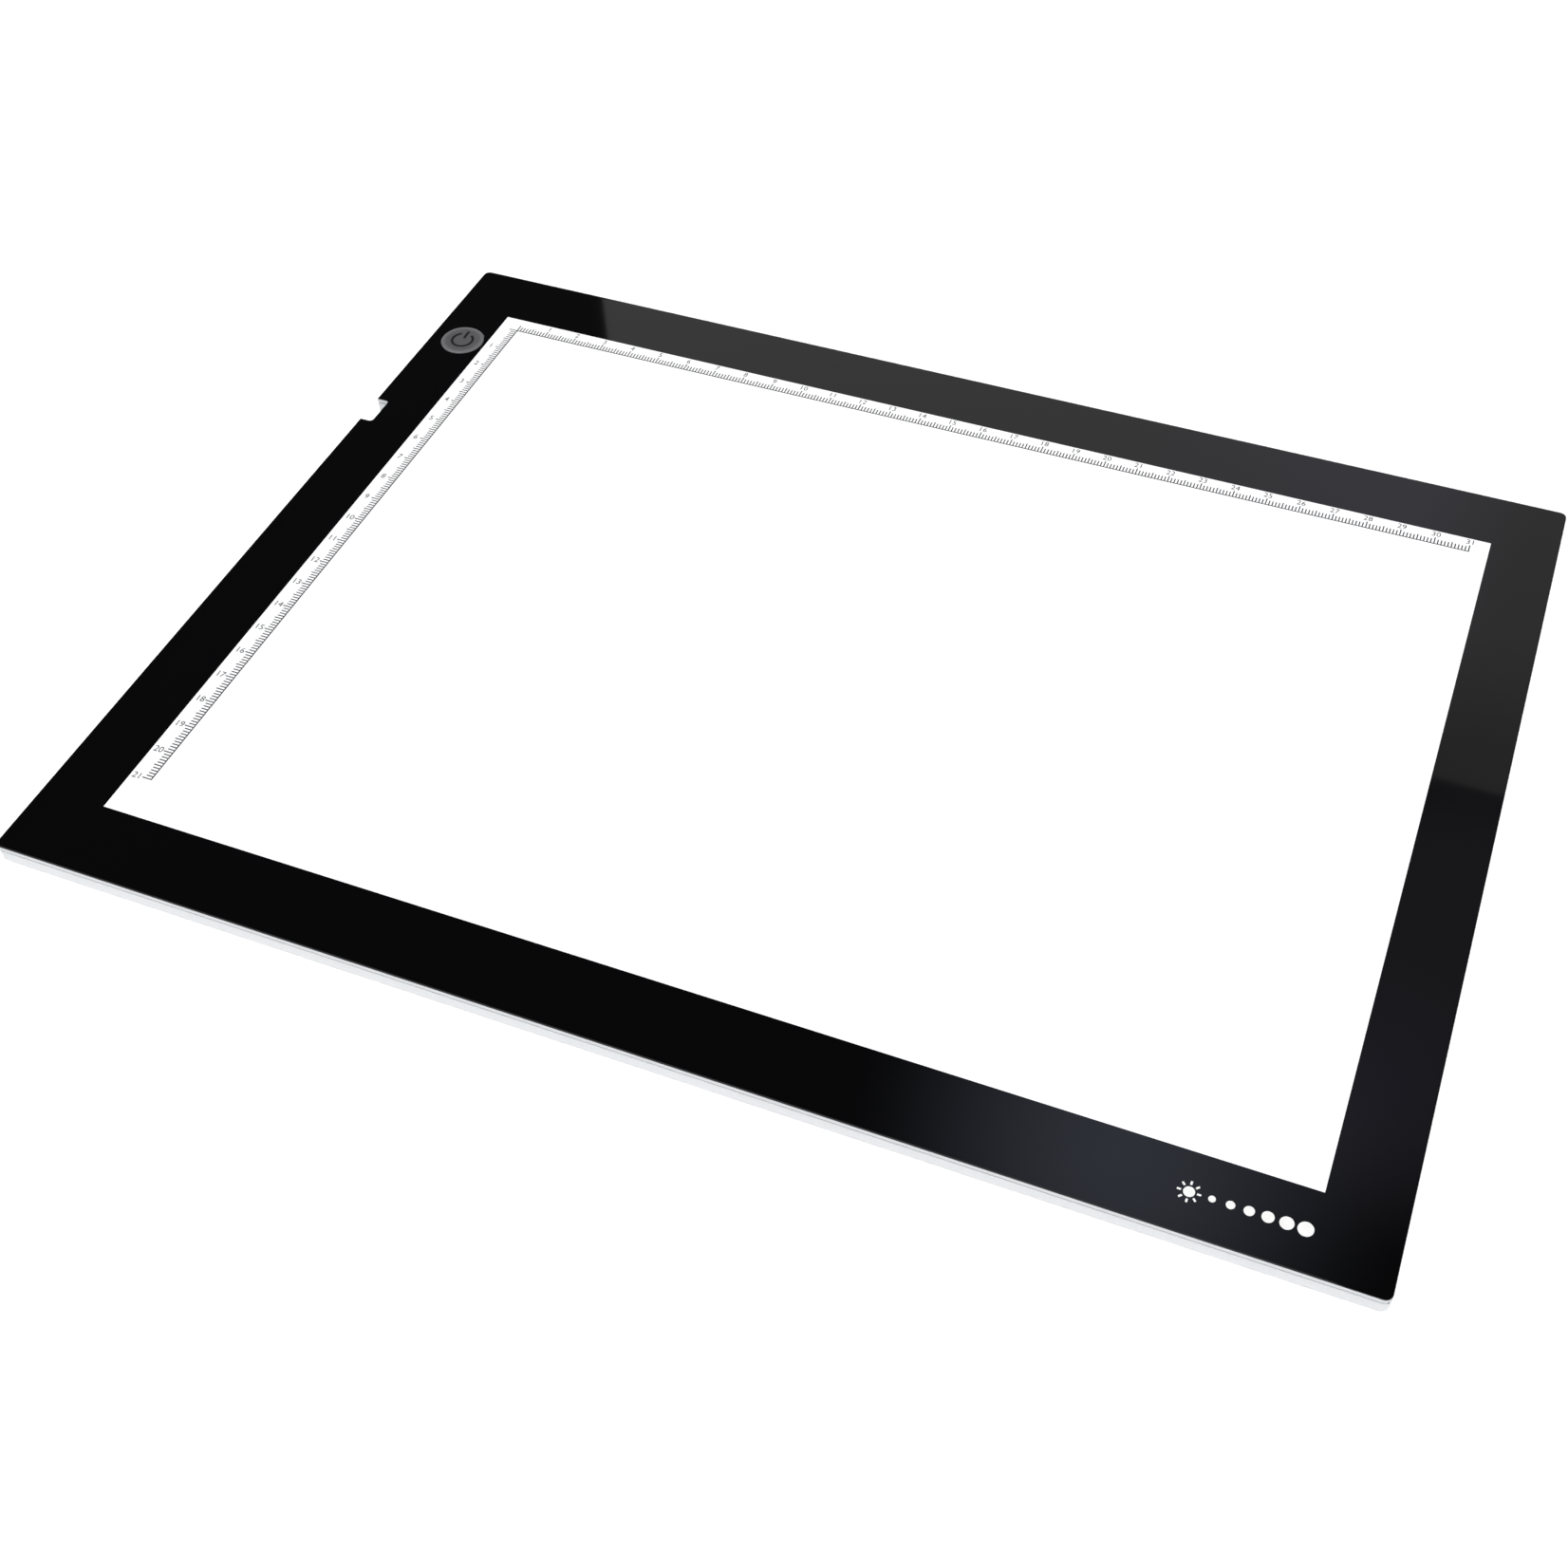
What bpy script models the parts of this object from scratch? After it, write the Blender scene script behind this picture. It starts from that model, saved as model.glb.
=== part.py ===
"""Slim LED light box: a clear acrylic panel over a black printed border, an edge-lit light guide with its
films, two LED bars, a small control board with a push key and a USB inlet, all in a moulded back cover.

Frame: origin on the supporting surface under the middle, +X along the long side, +Y to the back, +Z up.
"""

import math

import bmesh
import bpy
from mathutils import Matrix, Vector

MM = 0.001

# Driving dimensions, in millimetres.
WIDTH, DEPTH = 360.0, 270.0
SIDE_BORDER, END_BORDER = 19.0, 21.0
CORNER_RADIUS = 2.0
WALL = 1.8
GAP = 0.3
FILM_GAP = 0.1

# Heights of the layers above the supporting surface.
COVER_BOTTOM, FLOOR_TOP, RIM_TOP = 0.8, 1.8, 4.4
REFLECTOR_Z = (2.0, 2.2)
GUIDE_Z = (2.4, 4.0)
DIFFUSER_Z = (4.2, 4.4)
TAPE_Z = (4.5, 4.6)
MASK_Z = (4.7, 4.8)
PANEL_Z = (4.9, 6.4)
BOARD_Z = (2.3, 2.9)
PART_BASE = BOARD_Z[1] + FILM_GAP

# Cable notch in the left edge, with the USB inlet in its inner wall.
NOTCH_Y, NOTCH_WIDTH, NOTCH_DEPTH, NOTCH_RADIUS = 55.7, 10.8, 4.2, 1.2

# Power key in the left border.
KEY_X, KEY_Y = -WIDTH / 2 + 10.9, DEPTH / 2 - 37.5
KEY_RADIUS, KEY_TOP, KEY_BOTTOM = 6.9, 6.6, 3.9
KEY_HOLE = KEY_RADIUS + GAP

# Faces that several pieces are placed from.
INNER_X, INNER_Y = WIDTH / 2 - WALL, DEPTH / 2 - WALL
WINDOW_X, WINDOW_Y = WIDTH / 2 - SIDE_BORDER, DEPTH / 2 - END_BORDER
NOTCH_X = -WIDTH / 2 + NOTCH_DEPTH
GUIDE_LEFT, GUIDE_RIGHT, GUIDE_Y = -WINDOW_X - 0.8, INNER_X - 0.6, 130.7
BOARD_X, BOARD_Y = (-173.6, -162.6), (42.0, 112.0)
FEET = [(x, y) for x in (-163.0, 0.0, 163.0) for y in (-118.0, 118.0)]
FOOT_RADIUS, FOOT_HEIGHT, FOOT_RECESS = 6.0, 1.0, 0.5
BOARD_SCREWS = [(-171.8, 44.4), (-164.4, 44.4), (-164.4, 109.6)]


def start_scene():
    for old in list(bpy.data.objects):
        bpy.data.objects.remove(old, do_unlink=True)
    made = []
    for name in ("light_box", "cutters"):
        collection = bpy.data.collections.new(name)
        bpy.context.scene.collection.children.link(collection)
        made.append(collection)
    return made


PARTS, CUTTERS = start_scene()


# ---- materials ----

def material(name, colour, roughness, metallic=0.0, alpha=1.0):
    made = bpy.data.materials.new(name)
    made.use_nodes = True
    shader = made.node_tree.nodes["Principled BSDF"]
    shader.inputs["Base Color"].default_value = (*colour, 1.0)
    shader.inputs["Roughness"].default_value = roughness
    shader.inputs["Metallic"].default_value = metallic
    shader.inputs["Alpha"].default_value = alpha
    return made


ACRYLIC = material("clear_acrylic", (0.92, 0.95, 0.96), 0.03, alpha=0.15)
GUIDE = material("guide_acrylic", (0.94, 0.97, 0.97), 0.08, alpha=0.4)
BLACK_INK = material("black_ink", (0.004, 0.004, 0.005), 0.2)
WHITE_FILM = material("white_film", (0.96, 0.97, 0.98), 0.5)
SILVER_FILM = material("silver_film", (0.88, 0.89, 0.9), 0.25)
BLACK_TAPE = material("black_tape", (0.02, 0.02, 0.02), 0.6)
COVER_GREY = material("cover_grey", (0.74, 0.75, 0.76), 0.45)
KEY_GREY = material("key_grey", (0.13, 0.13, 0.135), 0.35)
BOARD_GREEN = material("board_green", (0.02, 0.16, 0.07), 0.4)
FLEX_WHITE = material("flex_white", (0.86, 0.86, 0.82), 0.4)
PACKAGE_BLACK = material("package_black", (0.02, 0.02, 0.022), 0.5)
CERAMIC_TAN = material("ceramic_tan", (0.45, 0.32, 0.2), 0.5)
STEEL = material("plated_steel", (0.6, 0.6, 0.6), 0.25, 1.0)
ALUMINIUM = material("aluminium", (0.78, 0.79, 0.8), 0.35, 1.0)
CONNECTOR_WHITE = material("connector_white", (0.85, 0.84, 0.78), 0.45)
RUBBER = material("rubber", (0.03, 0.03, 0.03), 0.85)
RED_LEAD = material("red_lead", (0.5, 0.02, 0.02), 0.45)
BLACK_LEAD = material("black_lead", (0.02, 0.02, 0.02), 0.45)


# ---- shapes ----

def add_object(name, mesh, paint=None, place=(0, 0, 0), collection=PARTS):
    made = bpy.data.objects.new(name, mesh)
    made.location = Vector(place) * MM
    if paint:
        mesh.materials.append(paint)
    collection.objects.link(made)
    if collection is CUTTERS:
        made.hide_render = True
        made.display_type = "WIRE"
    return made


def block_mesh(name, x, y, z, corner=0.0, edge=0.0, base_edge=0.0):
    """A box between the given limits, with rounded upright edges and then softened top and bottom edges."""
    shape = bmesh.new()
    bmesh.ops.create_cube(shape, size=1.0)
    spans = [(hi - lo) * MM for lo, hi in (x, y, z)]
    middle = Vector([(lo + hi) / 2 * MM for lo, hi in (x, y, z)])
    bmesh.ops.scale(shape, vec=spans, verts=shape.verts)
    bmesh.ops.translate(shape, vec=middle, verts=shape.verts)
    if corner:
        upright = [e for e in shape.edges if abs(e.verts[0].co.z - e.verts[1].co.z) > 1e-6]
        bmesh.ops.bevel(shape, geom=upright, offset=corner * MM, segments=5, profile=0.5, affect="EDGES")
    for height, width in ((z[1], edge), (z[0], base_edge)):
        if width:
            rim = [e for e in shape.edges if all(abs(v.co.z - height * MM) < 1e-7 for v in e.verts)]
            bmesh.ops.bevel(shape, geom=rim, offset=width * MM, segments=2, profile=0.5, affect="EDGES")
    mesh = bpy.data.meshes.new(name)
    shape.to_mesh(mesh)
    shape.free()
    return mesh


def block(name, x, y, z, paint, corner=0.0, edge=0.0, base_edge=0.0):
    return add_object(name, block_mesh(name, x, y, z, corner, edge, base_edge), paint)


def round_mesh(name, radius, z, sides=32, edge=0.0):
    """A cylinder about Z between the given heights, shaded smooth, with softened top and bottom edges."""
    shape = bmesh.new()
    middle = Matrix.Translation((0, 0, (z[0] + z[1]) / 2 * MM))
    bmesh.ops.create_cone(shape, cap_ends=True, segments=sides, radius1=radius * MM, radius2=radius * MM,
                          depth=(z[1] - z[0]) * MM, matrix=middle)
    if edge:
        rims = [e for e in shape.edges if abs(e.verts[0].co.z - e.verts[1].co.z) < 1e-7]
        bmesh.ops.bevel(shape, geom=rims, offset=edge * MM, segments=2, profile=0.5, affect="EDGES")
    mesh = bpy.data.meshes.new(name)
    shape.to_mesh(mesh)
    shape.free()
    mesh.shade_smooth()
    mesh.set_sharp_from_angle(angle=math.radians(35))
    return mesh


def cutter_box(name, x, y, z, corner=0.0):
    return add_object(name, block_mesh(name, x, y, z, corner), collection=CUTTERS)


def cutter_round(name, radius, z, place, sides=32):
    return add_object(name, round_mesh(name, radius, z, sides), place=(*place, 0), collection=CUTTERS)


def boolean(target, tool, operation):
    step = target.modifiers.new(operation.lower(), "BOOLEAN")
    step.operation = operation
    step.object = tool
    step.solver = "EXACT"


def cut(target, *tools):
    for tool in tools:
        boolean(target, tool, "DIFFERENCE")


def join(target, *tools):
    for tool in tools:
        boolean(target, tool, "UNION")


def centred(middle, span):
    return (middle - span / 2, middle + span / 2)


def notch_cutter():
    """The cable notch, open through the left edge and both faces."""
    return cutter_box("notch_space", (-WIDTH / 2 - 10, NOTCH_X), centred(NOTCH_Y, NOTCH_WIDTH), (-5, 12), NOTCH_RADIUS)


# ---- panel, printed border and films ----

def build_top_panel(notch):
    panel = block("top_panel", centred(0, WIDTH), centred(0, DEPTH), PANEL_Z, ACRYLIC, CORNER_RADIUS, 0.3)
    hole = cutter_round("panel_key_hole", KEY_HOLE, (3, 9), (KEY_X, KEY_Y), 48)
    cut(panel, notch, hole)


def build_border_mask():
    """The black printed border under the panel, one ring around the lit window."""
    inset = 0.2
    mask = block("border_mask", centred(0, WIDTH - 2 * inset), centred(0, DEPTH - 2 * inset), MASK_Z,
                 BLACK_INK, CORNER_RADIUS)
    window = cutter_box("mask_window", centred(0, 2 * WINDOW_X), centred(0, 2 * WINDOW_Y), (3, 9))
    hole = cutter_round("mask_key_hole", KEY_HOLE, (3, 9), (KEY_X, KEY_Y), 48)
    notch = cutter_box("mask_notch", (-WIDTH / 2 - 10, NOTCH_X + inset),
                       centred(NOTCH_Y, NOTCH_WIDTH + 2 * inset), (-5, 12), NOTCH_RADIUS)
    cut(mask, window, hole, notch)


def build_border_tapes():
    """Die-cut double-sided tape on the rim and the films, in four strips around the window."""
    inset, overlap = 0.5, 1.0
    outer_x, outer_y = WIDTH / 2 - inset, DEPTH / 2 - inset
    inner_x, inner_y = WINDOW_X + overlap, WINDOW_Y + overlap
    block("border_tape_back", (-outer_x, outer_x), (inner_y, outer_y), TAPE_Z, BLACK_TAPE)
    block("border_tape_front", (-outer_x, outer_x), (-outer_y, -inner_y), TAPE_Z, BLACK_TAPE)
    block("border_tape_right", (inner_x, outer_x), (-inner_y + GAP, inner_y - GAP), TAPE_Z, BLACK_TAPE)
    left = block("border_tape_left", (-outer_x, -inner_x), (-inner_y + GAP, inner_y - GAP), TAPE_Z, BLACK_TAPE)
    hole = cutter_round("tape_key_hole", KEY_HOLE, (3, 9), (KEY_X, KEY_Y), 48)
    notch = cutter_box("tape_notch", (-WIDTH / 2 - 10, NOTCH_X + inset),
                       centred(NOTCH_Y, NOTCH_WIDTH + 2 * inset), (-5, 12), NOTCH_RADIUS)
    cut(left, hole, notch)


def build_light_stack():
    """The diffuser, the light guide and the reflector, loose between the cover's floor and the tape."""
    y = (-GUIDE_Y, GUIDE_Y)
    block("diffuser_sheet", (GUIDE_LEFT, GUIDE_RIGHT), y, DIFFUSER_Z, WHITE_FILM)
    block("light_guide", (GUIDE_LEFT, GUIDE_RIGHT), y, GUIDE_Z, GUIDE)
    block("reflector_sheet", (GUIDE_LEFT, GUIDE_RIGHT), y, REFLECTOR_Z, SILVER_FILM)


# ---- LED bars ----

LED_COUNT, LED_SIZE, LED_HEIGHT, FLEX_THICK = 34, (3.0, 0.9), 1.4, 0.3
FLEX_X = (-166.0, 174.0)
FLEX_Z = (2.1, 4.2)


def build_led_bar(end, side):
    """A flexible strip on edge with its LEDs facing the light guide, and the aluminium bar behind it."""
    face = GUIDE_Y + GAP
    flex_y = sorted((side * (face + LED_SIZE[1]), side * (face + LED_SIZE[1] + FLEX_THICK)))
    strip = block(f"led_strip_{end}", FLEX_X, flex_y, FLEX_Z, FLEX_WHITE)
    led_y = sorted((side * face, side * (face + LED_SIZE[1] + FLEX_THICK / 2)))
    first, last = GUIDE_LEFT + 6, FLEX_X[1] - 4
    pitch = (last - first) / (LED_COUNT - 1)
    middle = sum(GUIDE_Z) / 2
    for index in range(LED_COUNT):
        x = centred(first + pitch * index, LED_SIZE[0])
        led = cutter_box(f"led_{end}_{index}", x, led_y, centred(middle, LED_HEIGHT))
        join(strip, led)
    spreader_y = sorted((side * (INNER_Y - 0.2), side * (INNER_Y - 0.7)))
    block(f"heat_spreader_{end}", (FLEX_X[0] + 4, FLEX_X[1]), spreader_y, (2.1, 4.3), ALUMINIUM)


# ---- control board ----

USB_X, USB_WIDTH, USB_Z = (-175.6, -170.2), 7.5, (1.95, 4.35)
SWITCH_HALF, SWITCH_HOLE, PLUNGER_RADIUS = 2.6, 1.5, 1.1
SWITCH_Z, PLUNGER_Z = (3.0, 3.45), (3.35, 3.8)


def build_control_board():
    board = block("control_board", BOARD_X, BOARD_Y, BOARD_Z, BOARD_GREEN)
    inlet = cutter_box("board_inlet", (BOARD_X[0] - 2, USB_X[1] + GAP), centred(NOTCH_Y, USB_WIDTH + 2 * GAP), (1, 5))
    cut(board, inlet)
    for index, place in enumerate(BOARD_SCREWS):
        cut(board, cutter_round(f"board_hole_{index}", 0.9, (1, 5), place, 16))


def build_board_screws():
    for index, place in enumerate(BOARD_SCREWS, 1):
        head = add_object(f"board_screw_{index}", round_mesh("screw", 1.25, (3.0, 3.5), 20, 0.1), STEEL, (*place, 0))
        shank = cutter_round(f"screw_shank_{index}", 0.6, (1.5, 3.2), place, 16)
        join(head, shank)
        for turn, (wide, deep) in enumerate(((1.6, 0.35), (0.35, 1.6))):
            slot = cutter_box(f"screw_slot_{index}_{turn}", centred(place[0], wide), centred(place[1], deep), (3.25, 4))
            cut(head, slot)


def build_usb_inlet():
    """A mid-mounted micro receptacle: a folded steel shell, open at the notch, around its plastic tongue."""
    y = centred(NOTCH_Y, USB_WIDTH)
    shell = block("usb_socket_shell", USB_X, y, USB_Z, STEEL, 0.4)
    wall = 0.3
    cut(shell, cutter_box("usb_mouth", (USB_X[0] - 1, USB_X[1] - 0.6), (y[0] + wall, y[1] - wall),
                          (USB_Z[0] + wall, USB_Z[1] - wall)))
    block("usb_socket_tongue", (USB_X[0] + 0.7, USB_X[1] - 0.9), centred(NOTCH_Y, 3.7), (3.05, 3.6), PACKAGE_BLACK)


def build_board_parts():
    """The parts soldered on the board between the inlet and the power key: name, middle, footprint, height."""
    listed = [
        ("input_capacitor", (-165.2, 53.0), (1.6, 3.2), 1.1, CERAMIC_TAN),
        ("sense_resistor", (-165.2, 57.6), (1.6, 3.2), 0.55, PACKAGE_BLACK),
        ("controller_chip", (-167.4, 66.4), (3.9, 4.9), 1.2, PACKAGE_BLACK),
        ("power_inductor", (-166.0, 73.6), (5.0, 5.0), 1.2, PACKAGE_BLACK),
        ("rectifier_diode", (-171.2, 73.6), (2.6, 4.3), 1.1, PACKAGE_BLACK),
        ("led_driver_chip", (-165.4, 80.4), (3.0, 3.0), 1.0, PACKAGE_BLACK),
        ("output_capacitor", (-170.6, 80.4), (1.6, 3.2), 1.1, CERAMIC_TAN),
        ("led_connector_front", (-168.1, 48.2), (4.6, 3.4), 1.3, CONNECTOR_WHITE),
        ("led_connector_back", (-170.4, 109.4), (4.6, 3.4), 1.3, CONNECTOR_WHITE),
    ]
    for name, (x, y), (wide, deep), height, paint in listed:
        block(name, centred(x, wide), centred(y, deep), (PART_BASE, PART_BASE + height), paint, edge=0.15)


# ---- power key ----

def build_power_key():
    """The key's dished disc with its two retaining wings, and the plunger of the switch that it presses."""
    cap = add_object("power_key", round_mesh("power_key", KEY_RADIUS, (KEY_BOTTOM, KEY_TOP), 64, 0.2), KEY_GREY,
                     (KEY_X, KEY_Y, 0))
    dish = bmesh.new()
    dish_radius, sink = 60.0, 0.12
    bmesh.ops.create_uvsphere(dish, u_segments=48, v_segments=160, radius=dish_radius * MM)
    far = [v for v in dish.verts if v.co.z > -0.97 * dish_radius * MM]
    bmesh.ops.delete(dish, geom=far, context="VERTS")
    bmesh.ops.contextual_create(dish, geom=[e for e in dish.edges if e.is_boundary])
    mesh = bpy.data.meshes.new("key_dish")
    dish.to_mesh(mesh)
    dish.free()
    cut(cap, add_object("key_dish", mesh, place=(KEY_X, KEY_Y, KEY_TOP - sink + dish_radius), collection=CUTTERS))
    wings = cutter_box("key_wings", centred(KEY_X, 5.0), centred(KEY_Y, 17.2), (KEY_BOTTOM, 4.4))
    join(cap, wings)
    add_object("switch_plunger", round_mesh("switch_plunger", PLUNGER_RADIUS, PLUNGER_Z, 24, 0.08), PACKAGE_BLACK,
               (KEY_X, KEY_Y, 0))


def build_switch():
    body = block("switch_body", centred(KEY_X, 2 * SWITCH_HALF), centred(KEY_Y, 2 * SWITCH_HALF), SWITCH_Z, STEEL, 0.4)
    cut(body, cutter_round("switch_bore", SWITCH_HOLE, (2, 5), (KEY_X, KEY_Y), 24))


# ---- leads ----

LEAD_RADIUS, LEAD_STEP = 0.45, 5.0


def smooth_route(points, step):
    """Points along a Catmull-Rom curve through the given ones, about a step apart."""
    ends = [2 * points[0] - points[1], *points, 2 * points[-1] - points[-2]]
    found = []
    for before, start, stop, after in zip(ends, ends[1:], ends[2:], ends[3:]):
        count = max(2, math.ceil((stop - start).length / step))
        for index in range(count):
            t = index / count
            found.append(0.5 * (2 * start + (stop - before) * t
                                + (2 * before - 5 * start + 4 * stop - after) * t * t
                                + (3 * start - before - 3 * stop + after) * t ** 3))
    return [*found, points[-1]]


def build_lead(name, route, paint):
    curve = bpy.data.curves.new(name, "CURVE")
    curve.dimensions = "3D"
    curve.bevel_depth = LEAD_RADIUS * MM
    curve.bevel_resolution = 2
    curve.use_fill_caps = True
    points = smooth_route([Vector(p) for p in route], LEAD_STEP)
    line = curve.splines.new("POLY")
    line.points.add(len(points) - 1)
    for knot, point in zip(line.points, points):
        knot.co = (*(point * MM), 1.0)
    curve.materials.append(paint)
    lead = bpy.data.objects.new(name, curve)
    PARTS.objects.link(lead)


def build_leads():
    """Two pairs of leads in the left channel, from the board's connectors to the ends of the LED strips."""
    run = 3.0
    beside_strip = GUIDE_Y + GAP + LED_SIZE[1] - GAP - LEAD_RADIUS
    for name, shift, end_x, end_z, paint in (
        ("positive", 0.0, -164.8, 2.7, RED_LEAD),
        ("negative", 1.4, -163.0, 3.8, BLACK_LEAD),
    ):
        build_lead(f"lead_front_{name}", [
            (-168.8 + shift, 46.1, 3.6), (-169.2 + shift, 41.0, 3.4), (-173.4 + shift, 30.0, run),
            (-175.8 + shift, 12.0, run), (-176.0 + shift, -30.0, run), (-176.0 + shift, -70.0, run),
            (-175.8 + shift, -108.0, run), (-173.8 + shift, -122.0, run), (-169.4 + shift, -129.0 + shift / 2, run),
            (end_x, -beside_strip, end_z),
        ], paint)
        build_lead(f"lead_back_{name}", [
            (-171.1 + shift, 111.6, 3.6), (-171.2 + shift, 116.0, 3.4), (-171.4 + shift, 123.0, run),
            (-169.4 + shift, 128.6 - shift / 2, run), (end_x, beside_strip, end_z),
        ], paint)


# ---- back cover and feet ----

def build_back_cover(notch):
    """The moulded tray: floor, rim, the pocket wall around the notch, screw bosses and support ribs."""
    cover = block("back_cover", centred(0, WIDTH), centred(0, DEPTH), (COVER_BOTTOM, RIM_TOP), COVER_GREY,
                  CORNER_RADIUS, base_edge=0.4)
    cut(cover, cutter_box("tray_space", (-INNER_X, INNER_X), (-INNER_Y, INNER_Y), (FLOOR_TOP, 9), 0.8))
    pocket_y = centred(NOTCH_Y, NOTCH_WIDTH + 2 * WALL)
    join(cover, cutter_box("notch_pocket", (-INNER_X - 0.9, NOTCH_X + WALL), pocket_y, (COVER_BOTTOM + 0.5, RIM_TOP)))
    for index, place in enumerate(BOARD_SCREWS):
        join(cover, cutter_round(f"boss_{index}", 1.9, (1.2, 2.2), place, 20))
    for index, y in enumerate((-105.0, -70.0, -35.0, 0.0, 25.0)):
        join(cover, cutter_box(f"support_rib_{index}", (-171.5, -163.0), centred(y, 1.2), (1.2, 4.3)))
    cut(cover, notch)
    cut(cover, cutter_box("inlet_slot", (NOTCH_X - 2, NOTCH_X + WALL + 1), centred(NOTCH_Y, USB_WIDTH + 2 * GAP),
                          (FLOOR_TOP, 9)))
    for index, place in enumerate(BOARD_SCREWS):
        cut(cover, cutter_round(f"pilot_{index}", 0.9, (1.2, 5), place, 16))
    for index, place in enumerate(FEET):
        cut(cover, cutter_round(f"foot_recess_{index}", FOOT_RADIUS + GAP, (-1, COVER_BOTTOM + FOOT_RECESS), place, 48))


def build_feet():
    for index, place in enumerate(FEET, 1):
        foot = round_mesh("foot", FOOT_RADIUS, (0.0, FOOT_HEIGHT), 40, 0.2)
        add_object(f"foot_{index}", foot, RUBBER, (*place, 0))


notch = notch_cutter()
build_top_panel(notch)
build_border_mask()
build_border_tapes()
build_light_stack()
build_led_bar("front", -1)
build_led_bar("back", 1)
build_control_board()
build_board_screws()
build_usb_inlet()
build_board_parts()
build_power_key()
build_switch()
build_leads()
build_back_cover(notch)
build_feet()
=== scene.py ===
"""Slim LED light box, finished for view: it lies lit on a white sweep under studio light."""
import math

import bpy
from mathutils import Matrix, Vector


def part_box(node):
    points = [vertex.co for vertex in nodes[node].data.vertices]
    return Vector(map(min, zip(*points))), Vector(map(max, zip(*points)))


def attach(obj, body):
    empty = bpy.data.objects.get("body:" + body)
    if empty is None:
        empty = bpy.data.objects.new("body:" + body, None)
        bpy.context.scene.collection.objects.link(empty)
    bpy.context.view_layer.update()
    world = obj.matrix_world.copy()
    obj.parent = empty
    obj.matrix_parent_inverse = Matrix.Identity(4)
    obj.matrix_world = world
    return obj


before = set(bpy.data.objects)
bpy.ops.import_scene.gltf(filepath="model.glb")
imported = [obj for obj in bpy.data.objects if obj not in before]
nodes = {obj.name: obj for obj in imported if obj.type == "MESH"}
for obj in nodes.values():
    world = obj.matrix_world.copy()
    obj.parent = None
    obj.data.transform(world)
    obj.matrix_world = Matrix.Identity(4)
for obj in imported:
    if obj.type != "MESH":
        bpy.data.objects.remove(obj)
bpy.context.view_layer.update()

MM = 0.001
bpy.ops.object.select_all(action="DESELECT")


# ---- back cover ----
# A tray moulded in light grey ABS: its outside comes from a finely eroded tool, so the plastic
# is satin, with a slight cloudiness where the melt flowed.
class Wire:
    """A node's output. Arithmetic on it adds Math nodes, and their output is the result."""

    def __init__(self, graph, socket):
        self.graph, self.socket = graph, socket

    def math(self, operation, *values):
        return self.graph.node("ShaderNodeMath", {"operation": operation}, dict(enumerate(values)))

    def __add__(self, other):
        return self.math("ADD", self, other)

    def __sub__(self, other):
        return self.math("SUBTRACT", self, other)

    def __rsub__(self, other):
        return self.math("SUBTRACT", other, self)

    def __mul__(self, other):
        return self.math("MULTIPLY", self, other)

    def __truediv__(self, other):
        return self.math("DIVIDE", self, other)

    def __gt__(self, other):
        return self.math("GREATER_THAN", self, other)

    def __lt__(self, other):
        return self.math("LESS_THAN", self, other)

    def __abs__(self):
        return self.math("ABSOLUTE", self)

    def __mod__(self, other):
        return self.math("FLOORED_MODULO", self, other)

    __radd__ = __add__

    def root(self):
        return self.math("SQRT", self)

    def bigger(self, other):
        return self.math("MAXIMUM", self, other)

    def smaller(self, other):
        return self.math("MINIMUM", self, other)


class Graph:
    """A node tree, and the methods that fill it."""

    def __init__(self, tree):
        self.tree = tree

    def set(self, socket, value):
        if isinstance(value, Wire):
            self.tree.links.new(value.socket, socket)
        elif isinstance(value, tuple) and len(socket.default_value) == 4:
            socket.default_value = (*value, 1.0)
        else:
            socket.default_value = value

    def node(self, kind, settings, inputs, output=0):
        made = self.tree.nodes.new(kind)
        for key, value in settings.items():
            setattr(made, key, value)
        for key, value in inputs.items():
            self.set(made.inputs[key], value)
        return Wire(self, made.outputs[output])

    def mix(self, factor, first, second):
        return self.node("ShaderNodeMix", {"data_type": "RGBA"}, {0: factor, 6: first, 7: second}, 2)

    def rise(self, value, low, high):
        """From 0 at low to 1 at high, eased at both ends."""
        eased = {"interpolation_type": "SMOOTHSTEP"}
        return self.node("ShaderNodeMapRange", eased, {0: value, 1: low, 2: high})


class Finish(Graph):
    """A procedural material: one Principled shader and the nodes that feed it."""

    def __init__(self, name, colour, roughness, **values):
        self.material = bpy.data.materials.new(name)
        self.material.use_nodes = True
        super().__init__(self.material.node_tree)
        self.shader = self.tree.nodes["Principled BSDF"]
        self.feed(Base_Color=colour, Roughness=roughness, **values)

    def place(self):
        return self.node("ShaderNodeTexCoord", {}, {}, "Object")

    def axes(self):
        """The piece's own X, Y and Z, in millimetres."""
        split = self.node("ShaderNodeSeparateXYZ", {}, {"Vector": self.place()}).socket.node
        return [Wire(self, axis) * (1 / MM) for axis in split.outputs]

    def noise(self, size, detail=2.0, stretch=(1.0, 1.0, 1.0)):
        """Noise from 0 to 1 whose features are about the given size, in millimetres."""
        where = self.node("ShaderNodeVectorMath", {"operation": "MULTIPLY"}, {0: self.place(), 1: stretch})
        values = {"Vector": where, "Scale": 1 / (size * MM), "Detail": detail}
        return self.node("ShaderNodeTexNoise", {}, values)

    def feed(self, **values):
        for socket, value in values.items():
            self.set(self.shader.inputs[socket.replace("_", " ")], value)

    def bump(self, height, depth):
        """A bump whose full height is the given depth, in millimetres."""
        self.feed(Normal=self.node("ShaderNodeBump", {}, {"Height": height, "Distance": depth * MM}))

    def cover(self, *names):
        """Gives this finish to CAD nodes."""
        for name in names:
            mesh = nodes[name].data
            mesh.materials.clear()
            mesh.materials.append(self.material)


def tinted(colour, times):
    """The colour made that many times as bright."""
    return tuple(min(1, channel * times) for channel in colour)


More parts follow.
